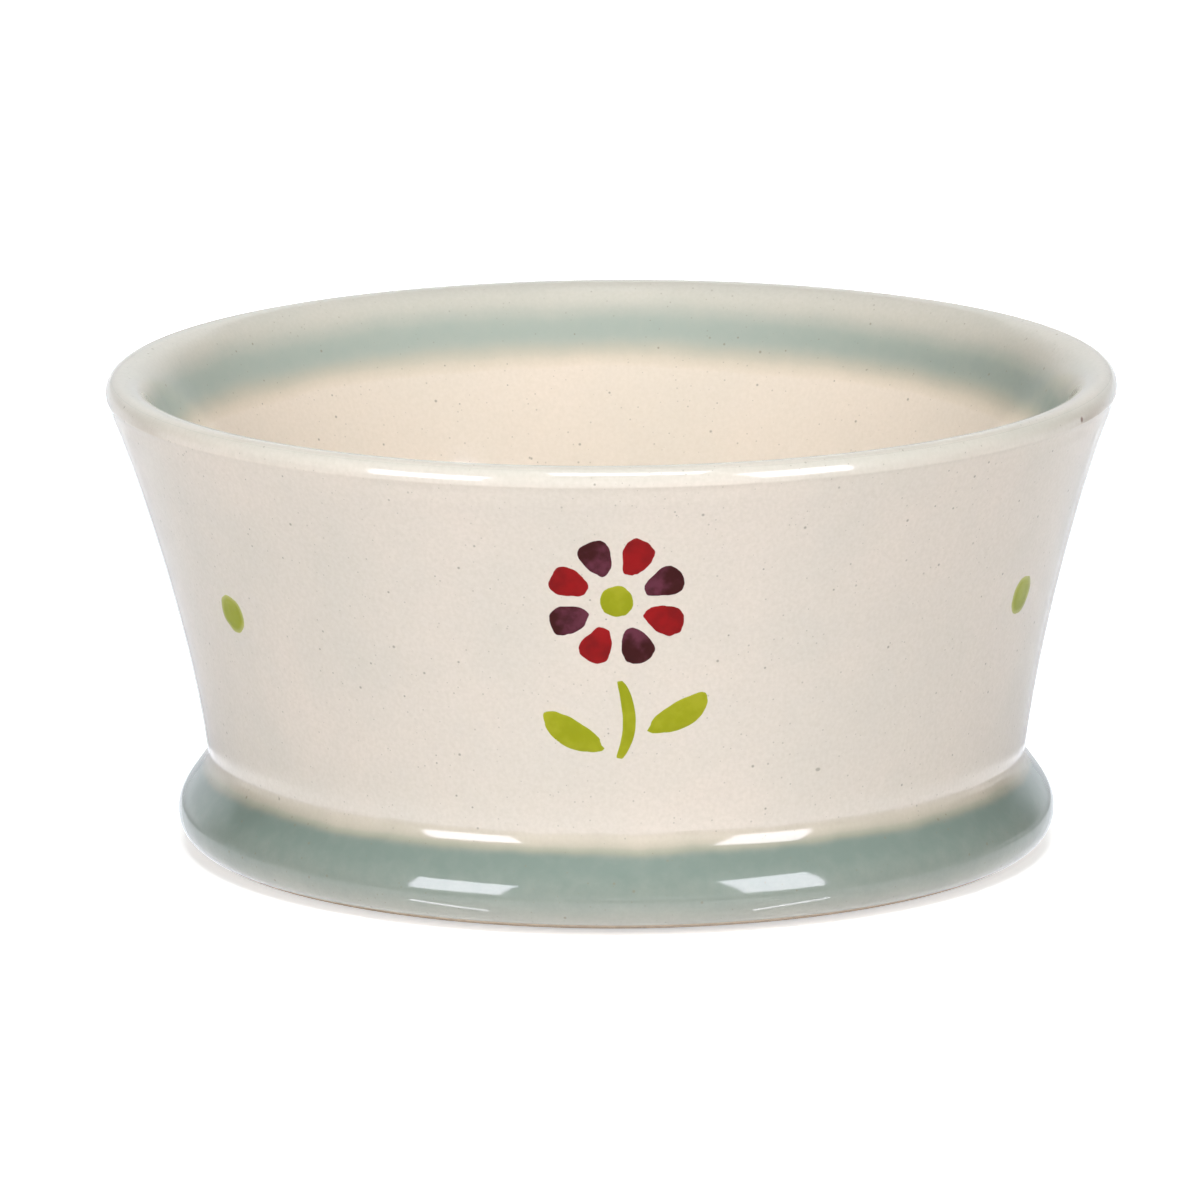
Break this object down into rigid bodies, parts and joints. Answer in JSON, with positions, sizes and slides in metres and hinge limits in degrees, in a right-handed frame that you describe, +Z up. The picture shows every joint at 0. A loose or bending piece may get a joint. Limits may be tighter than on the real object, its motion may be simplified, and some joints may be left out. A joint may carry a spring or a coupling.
{
  "type": "ramekin",
  "caption": "Flared round ramekin on a rounded foot ring, cream glazed with blue-grey slip bands and painted flower sprigs; holds single portions for baking and serving.",
  "frame": {"origin": "on the axis of the turned shape, at the height of the foot ring's standing face", "axes": "+Z up along the axis, out of the bowl's mouth; -Y is the side with the first sprig"},
  "size_m": [0.1, 0.1, 0.0473],
  "materials": {
    "cream_glaze": "glossy speckled cream glaze over pale earthenware",
    "blue_slip": "blue-grey slip band under a glossy glaze",
    "plum_paint": "plum underglaze stroke under a glossy glaze",
    "red_paint": "red underglaze stroke under a glossy glaze",
    "green_paint": "lime green underglaze stroke under a glossy glaze"
  },
  "bodies": {
    "root": {"bowl": "cream_glaze", "foot_ring": "cream_glaze", "rim_band": "blue_slip", "foot_band": "blue_slip", "dot_1": "green_paint", "dot_2": "green_paint", "dot_3": "green_paint", "sprig_1_petal_1": "red_paint", "sprig_1_petal_2": "plum_paint", "sprig_1_petal_3": "red_paint", "sprig_1_petal_4": "plum_paint", "sprig_1_petal_5": "red_paint", "sprig_1_petal_6": "plum_paint", "sprig_1_petal_7": "red_paint", "sprig_1_petal_8": "plum_paint", "sprig_1_centre": "green_paint", "sprig_1_stem": "green_paint", "sprig_1_leaf_left": "green_paint", "sprig_1_leaf_right": "green_paint", "sprig_2_petal_1": "red_paint", "sprig_2_petal_2": "plum_paint", "sprig_2_petal_3": "red_paint", "sprig_2_petal_4": "plum_paint", "sprig_2_petal_5": "red_paint", "sprig_2_petal_6": "plum_paint", "sprig_2_petal_7": "red_paint", "sprig_2_petal_8": "plum_paint", "sprig_2_centre": "green_paint", "sprig_2_stem": "green_paint", "sprig_2_leaf_left": "green_paint", "sprig_2_leaf_right": "green_paint", "sprig_3_petal_1": "red_paint", "sprig_3_petal_2": "plum_paint", "sprig_3_petal_3": "red_paint", "sprig_3_petal_4": "plum_paint", "sprig_3_petal_5": "red_paint", "sprig_3_petal_6": "plum_paint", "sprig_3_petal_7": "red_paint", "sprig_3_petal_8": "plum_paint", "sprig_3_centre": "green_paint", "sprig_3_stem": "green_paint", "sprig_3_leaf_left": "green_paint", "sprig_3_leaf_right": "green_paint"}
  },
  "joints": []
}
